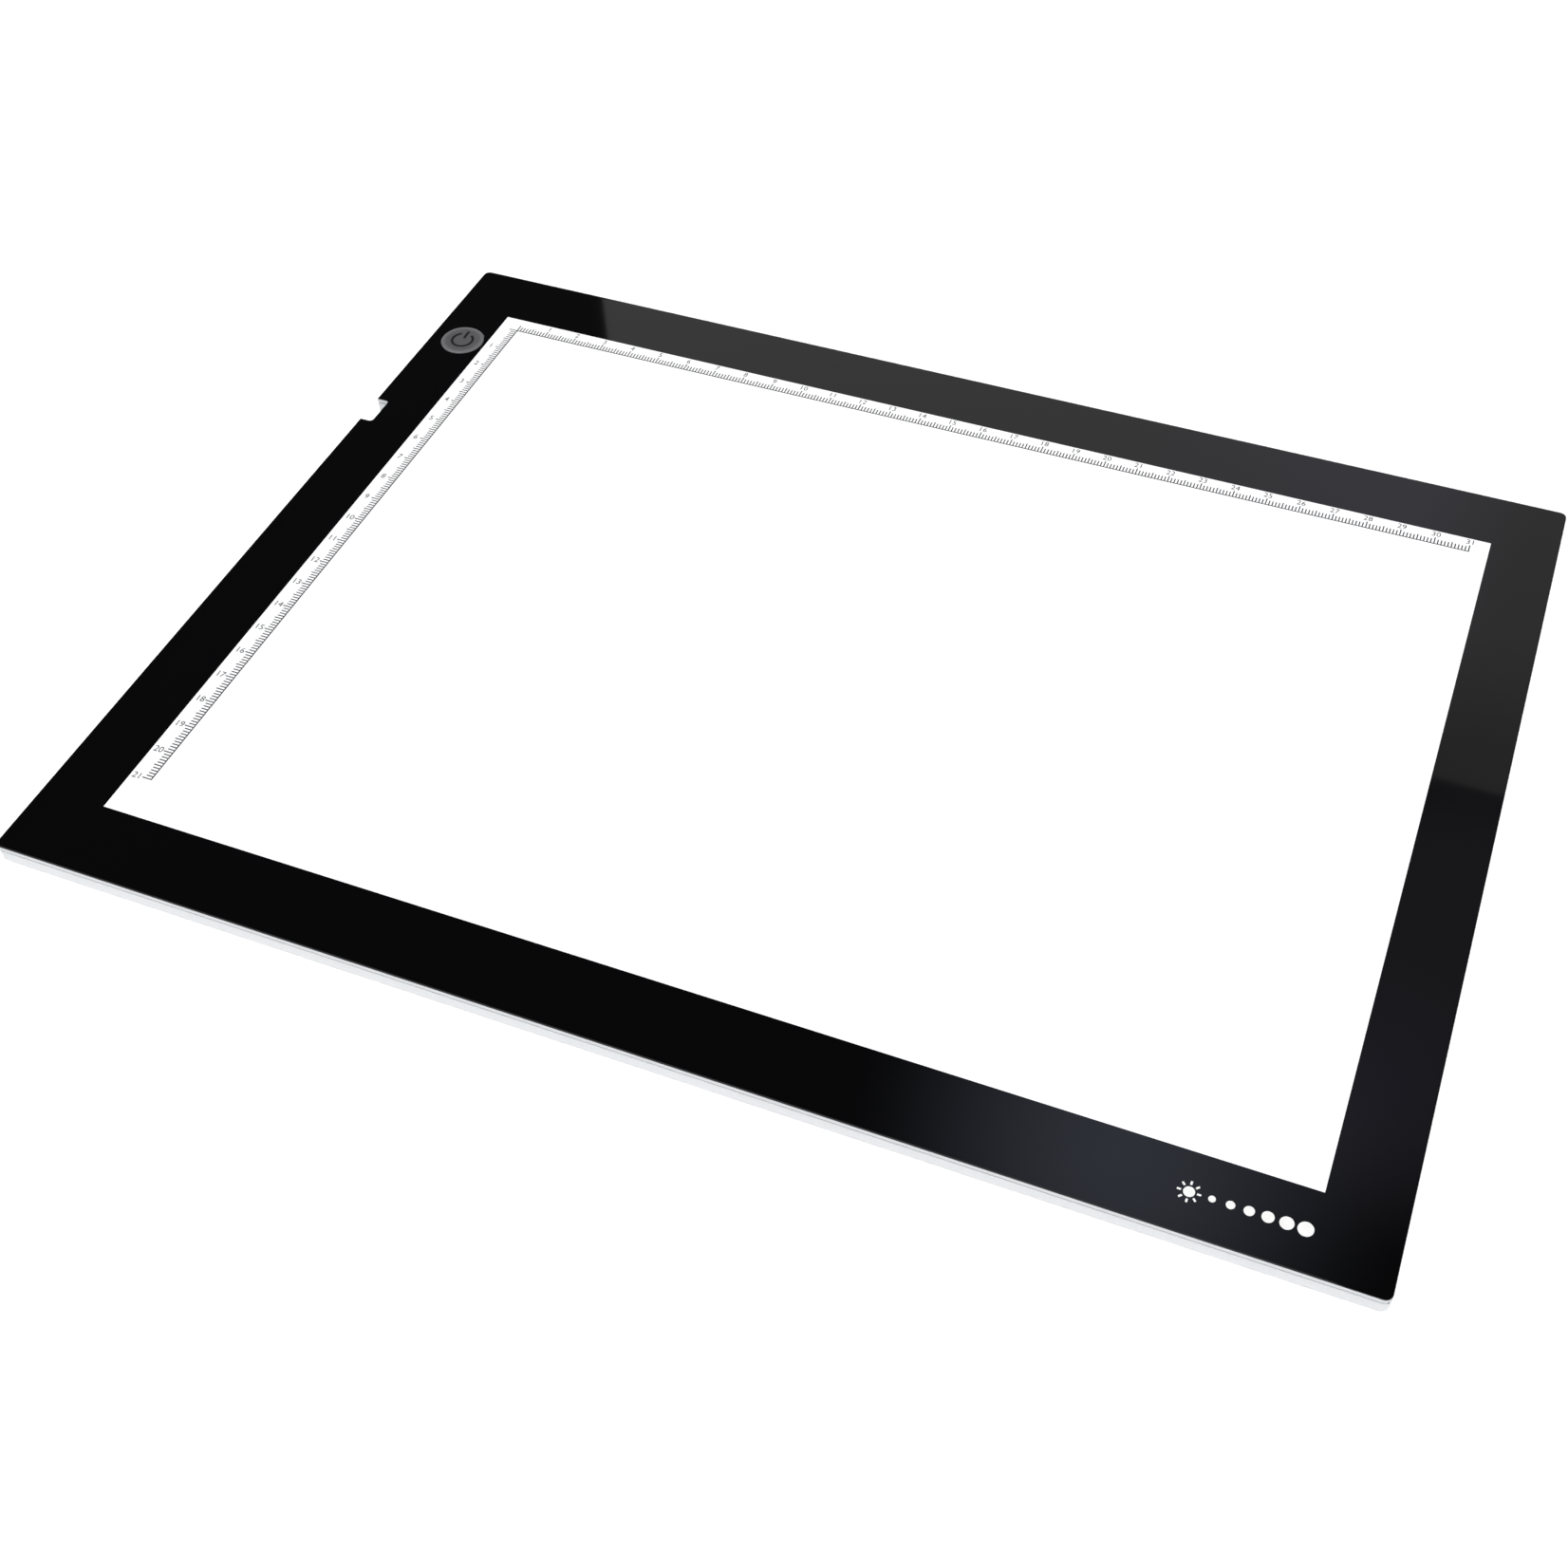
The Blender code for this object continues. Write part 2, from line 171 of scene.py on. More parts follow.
CLOUD_SIZE, CLOUD_SHADE, GRAIN_ROUGHNESS = 35, 0.96, 0.12


def moulded(name, colour, roughness, grain, depth):
    """Satin moulded plastic: eroded grain, and a faint cloudiness a few centimetres across."""
    made = Finish(name, colour, roughness)
    clouds, pits = made.noise(CLOUD_SIZE, 3.0), made.noise(grain)
    made.feed(
        Base_Color=made.mix(clouds, tinted(colour, CLOUD_SHADE), colour),
        Roughness=roughness + (pits - 0.5) * GRAIN_ROUGHNESS,
    )
    made.bump(pits, depth)
    return made


moulded("cover_plastic", (0.56, 0.57, 0.585), 0.42, grain=0.35, depth=0.006).cover("back_cover")


# ---- feet ----
# Six die-cut discs of black rubber pressed into round recesses. Their faces carry fine concentric
# rings from the moulding, and they dull where they rub on the desk.
FOOT_COUNT, FOOT_RING_PITCH, FOOT_RING_DEPTH = 6, 1.1, 0.05


def from_middle(finish, middle):
    """How far a point of the piece is from the upright line through its middle, in millimetres."""
    x, y, _ = finish.axes()
    across, along = x - middle.x, y - middle.y
    return (across * across + along * along).root()


def foot_rubber(name):
    """Rubber for one foot, its moulded rings centred on it."""
    low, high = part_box(name)
    made = Finish(f"{name}_rubber", (0.025, 0.025, 0.026), 0.8, Specular_IOR_Level=0.3)
    radius = from_middle(made, (low + high) / 2 / MM)
    rings = abs(radius % FOOT_RING_PITCH - FOOT_RING_PITCH / 2) / (FOOT_RING_PITCH / 2)
    wear = made.noise(1.4, 3.0)
    made.feed(
        Base_Color=made.mix(wear, (0.018, 0.018, 0.019), (0.05, 0.05, 0.05)), Roughness=0.7 + wear * 0.25
    )
    made.bump(rings + wear * 0.4, FOOT_RING_DEPTH)
    made.cover(name)


for foot in range(1, FOOT_COUNT + 1):
    foot_rubber(f"foot_{foot}")


# ---- reflector, light guide and diffuser ----
# A white reflector film, a clear acrylic plate with a grid of printed white dots that grow towards
# its middle, and a milky diffusing film, all cut to the same outline and laid loose in the tray.
reflector = Finish("reflector_film", (0.9, 0.91, 0.92), 0.28)
reflector.feed(Roughness=0.22 + reflector.noise(8) * 0.15)
reflector.bump(reflector.noise(30, 1.0), 0.02)
reflector.cover("reflector_sheet")

GUIDE_DOT_PITCH, GUIDE_DOT_LEAST, GUIDE_DOT_GROWTH, ACRYLIC_IOR = 2.0, 0.3, 0.45, 1.49
guide_low, guide_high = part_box("light_guide")
guide = Finish("guide_acrylic", (0.86, 0.92, 0.92), 0.08, IOR=ACRYLIC_IOR)
guide_x, guide_y, _ = guide.axes()
off_middle = abs(guide_y) / (guide_high.y / MM)
cell_x, cell_y = (axis % GUIDE_DOT_PITCH - GUIDE_DOT_PITCH / 2 for axis in (guide_x, guide_y))
dot_radius = GUIDE_DOT_LEAST + (1 - off_middle) * GUIDE_DOT_GROWTH
dots = (cell_x * cell_x + cell_y * cell_y) < dot_radius * dot_radius
guide.feed(Base_Color=guide.mix(dots, (0.82, 0.9, 0.9), (0.97, 0.97, 0.96)), Roughness=0.06 + dots * 0.4)
guide.cover("light_guide")

diffuser = Finish("diffusing_film", (0.93, 0.94, 0.95), 0.55, Emission_Strength=0.8)
film_grain = diffuser.noise(0.6)
diffuser.feed(Emission_Color=diffuser.mix(film_grain, (0.95, 0.97, 1.0), (1.0, 1.0, 1.0)))
diffuser.bump(film_grain, 0.004)
diffuser.cover("diffuser_sheet")


# ---- LED bars ----
# White flexible circuits stand on edge along the front and back, with a row of side-view LEDs
# facing the guide. Each LED has a yellow phosphor window. A rolled aluminium strip backs each bar.
LED_COUNT, LED_WIDE, LED_HIGH, LED_MARGIN = 34, 3.0, 1.4, 0.05
FIRST_LED_IN, LAST_LED_IN, FLEX_TRACK_WIDE = 6, 4, 0.5
first_led = guide_low.x / MM + FIRST_LED_IN
last_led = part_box("led_strip_front")[1].x / MM - LAST_LED_IN
led_pitch = (last_led - first_led) / (LED_COUNT - 1)
led_level = (guide_low.z + guide_high.z) / 2 / MM

flex = Finish("flexible_circuit", (0.86, 0.86, 0.83), 0.35)
flex_x, _, flex_z = flex.axes()
from_led = abs((flex_x - first_led + led_pitch / 2) % led_pitch - led_pitch / 2)
off_level = abs(flex_z - led_level)
package = (from_led < LED_WIDE / 2).smaller(off_level < LED_HIGH / 2 + LED_MARGIN)
track = (off_level < FLEX_TRACK_WIDE / 2).smaller(from_led > LED_WIDE / 2)
flex_colour = flex.mix(track, (0.84, 0.84, 0.8), (0.72, 0.6, 0.38))
flex.feed(
    Base_Color=flex.mix(package, flex_colour, (0.93, 0.93, 0.92)),
    Roughness=0.3 + flex.noise(1.0) * 0.15,
)
flex.cover("led_strip_front", "led_strip_back")

phosphor = Finish(
    "phosphor_gel", (0.95, 0.8, 0.2), 0.3, Emission_Color=(1.0, 0.93, 0.7), Emission_Strength=0.6
)
phosphor.bump(phosphor.noise(0.3), 0.02)


def pick(piece):
    """Makes the piece the only one selected, and the active one."""
    bpy.ops.object.select_all(action="DESELECT")
    piece.select_set(True)
    bpy.context.view_layer.objects.active = piece


def finish_piece(piece, name, finish, body="housing"):
    """Applies the piece's modifiers and place, names it, and gives it a finish and a body."""
    pick(piece)
    for modifier in list(piece.modifiers):
        bpy.ops.object.modifier_apply(modifier=modifier.name)
    bpy.ops.object.transform_apply(location=True, rotation=True, scale=True)
    piece.name = piece.data.name = name
    piece.data.materials.clear()
    piece.data.materials.append(finish.material)
    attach(piece, body)


def add_block(middle, size, bevel=0.0):
    """A box of the given size at the given middle, both in millimetres, with its edges rounded."""
    bpy.ops.object.select_all(action="DESELECT")
    bpy.ops.mesh.primitive_cube_add(size=1, location=Vector(middle) * MM, scale=Vector(size) * MM)
    piece = bpy.context.object
    bpy.ops.object.transform_apply(location=False, rotation=False, scale=True)
    if bevel:
        edge = piece.modifiers.new("edge", "BEVEL")
        edge.width, edge.segments = bevel * MM, 2
        bpy.ops.object.modifier_apply(modifier=edge.name)
    return piece


def repeat(piece, count, step):
    """Copies of the piece in a row, the step between them given in millimetres."""
    row = piece.modifiers.new("row", "ARRAY")
    row.count, row.use_relative_offset, row.use_constant_offset = count, False, True
    row.constant_offset_displace = Vector(step) * MM
    bpy.context.view_layer.objects.active = piece
    bpy.ops.object.modifier_apply(modifier=row.name)


LED_TO_GUIDE, PHOSPHOR_SIZE, PHOSPHOR_PROUD, PHOSPHOR_BEVEL = 0.3, (2.3, 0.08, 0.9), 0.02, 0.03
for end, side in (("front", -1), ("back", 1)):
    window_y = side * (guide_high.y / MM + LED_TO_GUIDE - PHOSPHOR_PROUD)
    window = add_block((first_led, window_y, led_level), PHOSPHOR_SIZE, PHOSPHOR_BEVEL)
    repeat(window, LED_COUNT, (led_pitch, 0, 0))
    finish_piece(window, f"led_windows_{end}", phosphor)

rolled = Finish("rolled_aluminium", (0.78, 0.79, 0.8), 0.32, Metallic=1.0)
rolling = rolled.noise(0.25, 3.0, stretch=(0.03, 1.0, 1.0))
rolled.feed(Roughness=0.24 + rolling * 0.2)
rolled.bump(rolling, 0.01)
rolled.cover("heat_spreader_front", "heat_spreader_back")


# ---- control board ----
# A narrow glass-epoxy board under green solder mask, held by three screws on bosses of the cover.
# Its tracks run as slightly raised, paler lines; the cut edges show bare laminate.
TRACK_PITCH, TRACK_WIDE, TRACK_PROUD, AREA_SIZE = 0.9, 0.32, 0.03, 9
LENGTHWAYS_FROM, CROSSWAYS_TO, CUT_EDGE_DEEP = 0.52, 0.45, 0.02
board_low, board_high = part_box("control_board")
board_middle, board_half = (board_low + board_high) / 2 / MM, (board_high - board_low) / 2 / MM
board = Finish("solder_mask", (0.012, 0.12, 0.05), 0.3, IOR=1.5)
board_x, board_y, _ = board.axes()
areas = board.noise(AREA_SIZE, 0.0)
lengthways, crossways = (
    abs(axis % TRACK_PITCH - TRACK_PITCH / 2) < TRACK_WIDE / 2 for axis in (board_x, board_y)
)
tracks = (lengthways * (areas > LENGTHWAYS_FROM)).bigger(crossways * (areas < CROSSWAYS_TO))
cut_edge = (abs(board_y - board_middle.y) > board_half.y - CUT_EDGE_DEEP).bigger(
    abs(board_x - board_middle.x) > board_half.x - CUT_EDGE_DEEP
)
board_green = board.mix(tracks, (0.012, 0.11, 0.045), (0.03, 0.2, 0.085))
board.feed(
    Base_Color=board.mix(cut_edge, board_green, (0.42, 0.38, 0.22)), Roughness=0.28 + cut_edge * 0.4
)
board.bump(tracks, TRACK_PROUD)
board.cover("control_board")

plated = Finish("nickel_plate", (0.62, 0.61, 0.59), 0.22, Metallic=1.0)
tarnish, drawn = plated.noise(2.5, 3.0), plated.noise(0.2, stretch=(0.2, 1.0, 1.0))
plated.feed(
    Base_Color=plated.mix(tarnish, (0.66, 0.65, 0.63), (0.52, 0.5, 0.47)),
    Roughness=0.16 + tarnish * 0.1 + drawn * 0.08,
)
plated.bump(drawn, 0.006)
plated.cover("board_screw_1", "board_screw_2", "board_screw_3", "usb_socket_shell", "switch_body")


# ---- USB inlet ----
# A micro receptacle let into the board's edge. Five gold-plated contacts lie along its black
# tongue, inside the folded steel shell.
epoxy = Finish("moulded_epoxy", (0.02, 0.02, 0.022), 0.45)
epoxy_grain = epoxy.noise(0.12, 3.0)
epoxy.feed(
    Base_Color=epoxy.mix(epoxy_grain, (0.014, 0.014, 0.016), (0.03, 0.03, 0.032)),
    Roughness=0.36 + epoxy_grain * 0.25,
)
epoxy.bump(epoxy_grain, 0.01)
epoxy.cover(
    "usb_socket_tongue", "controller_chip", "rectifier_diode", "led_driver_chip", "switch_plunger"
)

gold = Finish("gold_plate", (0.83, 0.6, 0.26), 0.2, Metallic=1.0)
gold.feed(Roughness=0.15 + gold.noise(0.4) * 0.15)

CONTACT_COUNT, CONTACT_PITCH, CONTACT_FORWARD = 5, 0.65, 0.3
CONTACT_SIZE, CONTACT_BEVEL = (2.9, 0.3, 0.08), 0.02
tongue_low, tongue_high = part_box("usb_socket_tongue")
tongue_middle = (tongue_low + tongue_high) / 2 / MM
first_contact = tongue_middle.y - (CONTACT_COUNT - 1) / 2 * CONTACT_PITCH
contact = add_block(
    (tongue_middle.x - CONTACT_FORWARD, first_contact, tongue_high.z / MM), CONTACT_SIZE, CONTACT_BEVEL
)
repeat(contact, CONTACT_COUNT, (0, CONTACT_PITCH, 0))
finish_piece(contact, "usb_contacts", gold)


# ---- chips, inductor and diode ----
# Moulded packages stand on tinned gull-wing legs. The inductor is a ferrite block with a round
# drum let into its top, and the diode and passive parts have tinned ends.
tin = Finish("reflowed_tin", (0.7, 0.7, 0.68), 0.25, Metallic=1.0)
tin_grain = tin.noise(0.5, 3.0)
tin.feed(Roughness=0.18 + tin_grain * 0.25)
tin.bump(tin_grain, 0.015)


def pick_faces(piece, normal, least=0.9):
    """Selects just the faces that look along the given direction, and opens the piece for editing."""
    pick(piece)
    bpy.ops.object.mode_set(mode="EDIT")
    bpy.ops.mesh.select_mode(type="FACE")
    bpy.ops.mesh.select_all(action="DESELECT")
    bpy.ops.object.mode_set(mode="OBJECT")
    for face in piece.data.polygons:
        face.select = face.normal.dot(Vector(normal)) > least
    bpy.ops.object.mode_set(mode="EDIT")


def draw_out(*moves):
    """Extrudes the picked faces by each move in turn, in millimetres, and closes the piece."""
    for move in moves:
        bpy.ops.mesh.extrude_region_move(TRANSFORM_OT_translate={"value": tuple(Vector(move) * MM)})
    bpy.ops.object.mode_set(mode="OBJECT")


LEG_THICK, LEG_RISE, LEG_SWEEP, LEG_FOOT, LEG_SHOULDER, LEG_INTO_BODY = 0.12, 0.35, 0.2, 0.45, 0.12, 0.02
SOLDER_THICK = 0.02
board_top = board_high.z / MM + SOLDER_THICK


def chip_legs(chip, name, count, pitch, wide):
    """Rows of gull-wing legs along both long sides of a chip."""
    low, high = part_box(chip)
    middle = (low + high) / 2 / MM
    for side, word in ((-1, "left"), (1, "right")):
        body_face = (low.x if side < 0 else high.x) / MM
        foot_x = body_face + side * (LEG_SWEEP + LEG_FOOT / 2 + LEG_SHOULDER - LEG_INTO_BODY)
        first = middle.y - (count - 1) * pitch / 2
        leg = add_block((foot_x, first, board_top + LEG_THICK / 2), (LEG_FOOT, wide, LEG_THICK))
        pick_faces(leg, (-side, 0, 0))
        draw_out((-side * LEG_SWEEP, 0, LEG_RISE), (-side * LEG_SHOULDER, 0, 0))
        repeat(leg, count, (0, pitch, 0))
        finish_piece(leg, f"{name}_{word}", tin)


chip_legs("controller_chip", "controller_legs", 4, 1.27, 0.4)
chip_legs("led_driver_chip", "driver_legs", 3, 0.95, 0.35)

ferrite = Finish("ferrite", (0.05, 0.048, 0.046), 0.55)
ferrite_grain = ferrite.noise(0.25, 3.0)
ferrite.feed(Base_Color=ferrite.mix(ferrite_grain, (0.035, 0.034, 0.033), (0.075, 0.072, 0.07)))
ferrite.bump(ferrite_grain, 0.02)
ferrite.cover("power_inductor")

DRUM_RADIUS, DRUM_THICK = 1.9, 0.2
DRUM_STEPS = ((0.2, -0.03), (0.9, 0.0), (0.1, -0.03))
low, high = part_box("power_inductor")
bpy.ops.object.select_all(action="DESELECT")
bpy.ops.mesh.primitive_cylinder_add(
    vertices=48, radius=DRUM_RADIUS * MM, depth=DRUM_THICK * MM,
    location=((low.x + high.x) / 2, (low.y + high.y) / 2, high.z),
)
drum = bpy.context.object
pick_faces(drum, (0, 0, 1))
for inward, rise in DRUM_STEPS:
    bpy.ops.mesh.inset(thickness=inward * MM, depth=rise * MM)
bpy.ops.object.mode_set(mode="OBJECT")
finish_piece(drum, "inductor_drum", ferrite)

TAB_SIZE, TAB_OUT, TAB_BEVEL = (1.5, 0.5, 0.2), 0.3, 0.05
TAB_RISE, TAB_SWEEP, TAB_SHOULDER = 0.3, 0.06, 0.1
low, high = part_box("rectifier_diode")
for side, word in ((-1, "front"), (1, "back")):
    end_y = (low.y if side < 0 else high.y) / MM
    tab_place = ((low.x + high.x) / 2 / MM, end_y + side * TAB_OUT, board_top + TAB_SIZE[2] / 2)
    tab = add_block(tab_place, TAB_SIZE, TAB_BEVEL)
    pick_faces(tab, (0, -side, 0))
    draw_out((0, -side * TAB_SWEEP, TAB_RISE), (0, -side * TAB_SHOULDER, 0))
    finish_piece(tab, f"diode_tab_{word}", tin)


# ---- capacitors and sense resistor ----
# Fired ceramic bodies with tinned caps on both ends; the resistor's black top is printed glass.
def chip_part(name, colour, cap):
    """A two-ended chip part: its body colour between tinned ends of the given length."""
    low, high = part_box(name)
    made = Finish(f"{name}_ceramic", colour, 0.4)
    along = made.axes()[1]
    tinned = abs(along - (low.y + high.y) / 2 / MM) > (high.y - low.y) / 2 / MM - cap
    speckle = made.noise(0.15, 3.0)
    body = made.mix(speckle, colour, tinted(colour, 1.25))
    made.feed(
        Base_Color=made.mix(tinned, body, (0.72, 0.72, 0.7)),
        Metallic=tinned,
        Roughness=0.45 - tinned * 0.2 + speckle * 0.1,
    )
    made.bump(speckle, 0.01)
    made.cover(name)


chip_part("input_capacitor", (0.4, 0.27, 0.16), 0.5)
chip_part("output_capacitor", (0.4, 0.27, 0.16), 0.5)
chip_part("sense_resistor", (0.02, 0.02, 0.022), 0.4)


# ---- LED connectors and leads ----
# Natural nylon housings with two tinned pins, and pairs of PVC-covered leads that run in the left
# channel to the ends of the LED bars.
nylon = moulded("natural_nylon", (0.84, 0.82, 0.74), 0.4, grain=0.25, depth=0.004)
nylon.cover("led_connector_front", "led_connector_back")

PIN_STEP, PIN_LEVEL, PIN_OUT, PIN_SIZE, PIN_BEVEL, PIN_TAPER = 1.4, 3.6, 0.1, (0.5, 0.4, 0.4), 0.08, 0.7
for end, toward in (("front", -1), ("back", 1)):
    low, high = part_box(f"led_connector_{end}")
    face = (low.y if toward < 0 else high.y) / MM
    pin_place = ((low.x + high.x) / 2 / MM - PIN_STEP / 2, face + toward * PIN_OUT, PIN_LEVEL)
    pin = add_block(pin_place, PIN_SIZE, PIN_BEVEL)
    pick_faces(pin, (0, toward, 0))
    bpy.ops.transform.resize(value=(PIN_TAPER, 1.0, PIN_TAPER))
    bpy.ops.object.mode_set(mode="OBJECT")
    repeat(pin, 2, (PIN_STEP, 0, 0))
    finish_piece(pin, f"connector_pins_{end}", tin)


def lead_cover(name, colour):
    """Soft extruded PVC: a slight sheen that wanders where the lead was handled."""
    made = Finish(name, colour, 0.4)
    handled = made.noise(3.0)
    made.feed(Base_Color=made.mix(handled, colour, tinted(colour, 0.75)), Roughness=0.32 + handled * 0.2)
    made.bump(made.noise(0.6), 0.012)
    return made


lead_cover("red_pvc", (0.5, 0.015, 0.012)).cover("lead_front_positive", "lead_back_positive")
lead_cover("black_pvc", (0.02, 0.02, 0.02)).cover("lead_front_negative", "lead_back_negative")


# ---- border tape and printed border ----
# Black double-sided tissue tape in four die-cut strips holds the panel down. The border is two
# coats of screen-printed black on the back of the panel, with a faint mesh mark.
tape = Finish("tissue_tape", (0.02, 0.02, 0.02), 0.7)
fibre = tape.noise(0.5, 4.0, stretch=(1.0, 0.35, 1.0))
tape.feed(
    Base_Color=tape.mix(fibre, (0.014, 0.014, 0.014), (0.035, 0.035, 0.035)), Roughness=0.6 + fibre * 0.3
)
tape.bump(fibre, 0.02)
tape.cover("border_tape_front", "border_tape_back", "border_tape_left", "border_tape_right")

print_coat = Finish("screen_printed_black", (0.004, 0.004, 0.005), 0.3)
SCREEN_PITCH = 0.3
print_x, print_y, _ = print_coat.axes()
thread_x, thread_y = (axis % SCREEN_PITCH - SCREEN_PITCH / 2 for axis in (print_x, print_y))
mesh_mark = thread_x * thread_y / (SCREEN_PITCH / 2) ** 2
print_coat.feed(Roughness=0.24 + abs(mesh_mark) * 0.12)
print_coat.bump(mesh_mark, 0.004)
print_coat.cover("border_mask")


# ---- top panel ----
# One sheet of cast acrylic with polished faces, printed black behind its border. The window shows
# the lit film below, a touch brighter beside the LED bars. The sawn edges are satin and pale.
SIDE_BORDER, END_BORDER, POLISHED_DEEP, BAR_GLOW_REACH = 19.0, 21.0, 0.3, 30
panel_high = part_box("top_panel")[1]
panel_top = panel_high.z / MM
half_lit_x, half_lit_y = panel_high.x / MM - SIDE_BORDER, panel_high.y / MM - END_BORDER
panel = Finish("printed_acrylic", (0.001, 0.001, 0.0012), 0.03, IOR=ACRYLIC_IOR, Emission_Strength=1.0)
panel_x, panel_y, panel_z = panel.axes()
lit = (abs(panel_x) < half_lit_x).smaller(abs(panel_y) < half_lit_y)
sawn = panel_z < panel_top - POLISHED_DEEP
near_bar = panel.rise(abs(panel_y), half_lit_y - BAR_GLOW_REACH, half_lit_y)
printed = panel.mix(lit, (0.0008, 0.0008, 0.001), (0.34, 0.34, 0.345))
glow = panel.mix(near_bar, (0.63, 0.635, 0.64), (0.66, 0.665, 0.67))
handling = panel.noise(45, 4.0)
saw_marks = panel.noise(0.5, stretch=(1.0, 1.0, 0.05))
panel.feed(
    Base_Color=panel.mix(sawn, printed, (0.5, 0.515, 0.53)),
    Emission_Color=panel.mix(lit * (1 - sawn), (0.0, 0.0, 0.0), glow),
    Roughness=0.02 + handling * 0.03 + sawn * (0.3 + saw_marks * 0.2),
)
panel.bump(saw_marks * sawn, 0.01)
panel.cover("top_panel")


# ---- printed scales ----
# Centimetre scales screen-printed beside the window's left and back edges, with their zero in the
# back left corner: a fine line, a tick for every millimetre, longer ones at 5 and 10, and numbers.
ZERO_X, ZERO_Y = -154.6, 108.3
INK_THICK, INK_SUNK = 0.02, 0.01
LINE_WIDE, TICK_REACH, HALF_REACH, CENTIMETRE_REACH = 0.36, 1.9, 0.4, 0.7
NUMBER_HIGH, DIGIT_SHARE = 2.0, 0.7
ink_level = panel_top + (INK_THICK - INK_SUNK) / 2


def printed_ink(name, colour, specks):
    """A thin screen-printed ink with small pinholes and a slightly uneven coat."""
    made = Finish(name, colour, 0.45)
    pinholes = made.noise(0.12, 3.0) > specks
    coat = made.noise(1.5)
    made.feed(
        Base_Color=made.mix(pinholes, made.mix(coat, colour, tinted(colour, 0.85)), tinted(colour, 1.6)),
        Roughness=0.4 + coat * 0.15,
    )
    made.bump(coat, 0.004)
    return made


def lay_ink(middle, size):
    """A bar of ink on the panel: its middle and its size in plan, in millimetres."""
    bpy.ops.object.select_all(action="DESELECT")
    place = Vector((*middle, panel_top - INK_SUNK)) * MM
    bpy.ops.mesh.primitive_plane_add(size=1, location=place)
    bar = bpy.context.object
    bar.scale = (size[0] * MM, size[1] * MM, 1)
    bpy.ops.object.transform_apply(location=False, rotation=False, scale=True)
    pick_faces(bar, (0, 0, 1))
    draw_out((0, 0, INK_THICK))
    pick_faces(bar, (0, 0, 1), least=-2)
    bpy.ops.mesh.normals_make_consistent(inside=False)
    bpy.ops.object.mode_set(mode="OBJECT")
    return bar


def number(value, middle):
    """A printed number, upright to a reader at the front."""
    bpy.ops.object.select_all(action="DESELECT")
    bpy.ops.object.text_add()
    figure = bpy.context.object
    figure.data.body = str(value)
    figure.data.align_x = figure.data.align_y = "CENTER"
    figure.data.size = NUMBER_HIGH / DIGIT_SHARE * MM
    figure.data.extrude = INK_THICK / 2 * MM
    figure.data.resolution_u = 3
    bpy.ops.object.convert(target="MESH")
    figure.location = Vector((*middle, ink_level)) * MM
    return figure


def join_pieces(made):
    """Joins meshes into the first of them."""
    bpy.ops.object.select_all(action="DESELECT")
    for piece in made:
        piece.select_set(True)
    bpy.context.view_layer.objects.active = made[0]
    bpy.ops.object.join()
    return made[0]


def on_scale(across, along, out):
    """A place on the panel, that far along a scale and that far out from its line, in millimetres."""
    return (ZERO_X + along, ZERO_Y + out) if across else (ZERO_X - out, ZERO_Y - along)


def along_scale(across, along, out):
    """A size in plan, its length along a scale given before its width."""
    return (along, out) if across else (out, along)


def scale_row(across, long_side, first, step, start, reach):
    """Equal ticks along a scale: across is True for the back scale, which runs to the right."""
    tick = lay_ink(on_scale(across, first, start + reach / 2), along_scale(across, LINE_WIDE, reach))
    count = int((long_side - first) / step) + 1
    repeat(tick, count, (step, 0, 0) if across else (0, -step, 0))
    return tick


SCALES = (("left", False, 21, 4.4), ("back", True, 31, 4.15))
scale_ink = printed_ink("scale_ink", (0.03, 0.03, 0.032), 0.74)
for end, across, centimetres, number_out in SCALES:
    long_side = centimetres * 10
    line_side, tick_end = LINE_WIDE / 2, LINE_WIDE / 2 + TICK_REACH
    rule = join_pieces([
        lay_ink(on_scale(across, long_side / 2, 0), along_scale(across, long_side + LINE_WIDE, LINE_WIDE)),
        scale_row(across, long_side, 0, 1, line_side, TICK_REACH),
        scale_row(across, long_side, 5, 10, tick_end, HALF_REACH),
        scale_row(across, long_side, 0, 10, tick_end, CENTIMETRE_REACH),
    ])
    finish_piece(rule, f"scale_ticks_{end}", scale_ink)
    figures = join_pieces([
        number(value, on_scale(across, value * 10, number_out)) for value in range(1, centimetres + 1)
    ])
    finish_piece(figures, f"scale_numbers_{end}", scale_ink)


# ---- brightness mark ----
# A small printed sun and a row of growing dots in white on the front border, for the brightness
# steps that the key runs through.
white_ink = printed_ink("white_ink", (0.86, 0.86, 0.85), 0.8)
MARK_Y, SUN_X, SUN_RADIUS, RAY_COUNT, RAY_SIZE, RAY_OUT = -124.4, 132.8, 1.35, 8, (0.95, 0.5), 2.3
DOT_COUNT, FIRST_DOT, DOT_STEP, DOT_LEAST, DOT_GROWTH = 6, 5.2, 4.2, 0.85, 0.2
RIM_WIDE, RIM_HIGH = 0.03, 0.003


def lay_disc(middle, radius):
    """A round spot of ink, its rim softened."""
    bpy.ops.object.select_all(action="DESELECT")
    place = Vector((*middle, ink_level)) * MM
    bpy.ops.mesh.primitive_cylinder_add(
        vertices=32, radius=radius * MM, depth=INK_THICK * MM, location=place
    )
    spot = bpy.context.object
    pick_faces(spot, (0, 0, 1))
    bpy.ops.mesh.inset(thickness=RIM_WIDE * MM, depth=RIM_HIGH * MM)
    bpy.ops.object.mode_set(mode="OBJECT")
    return spot


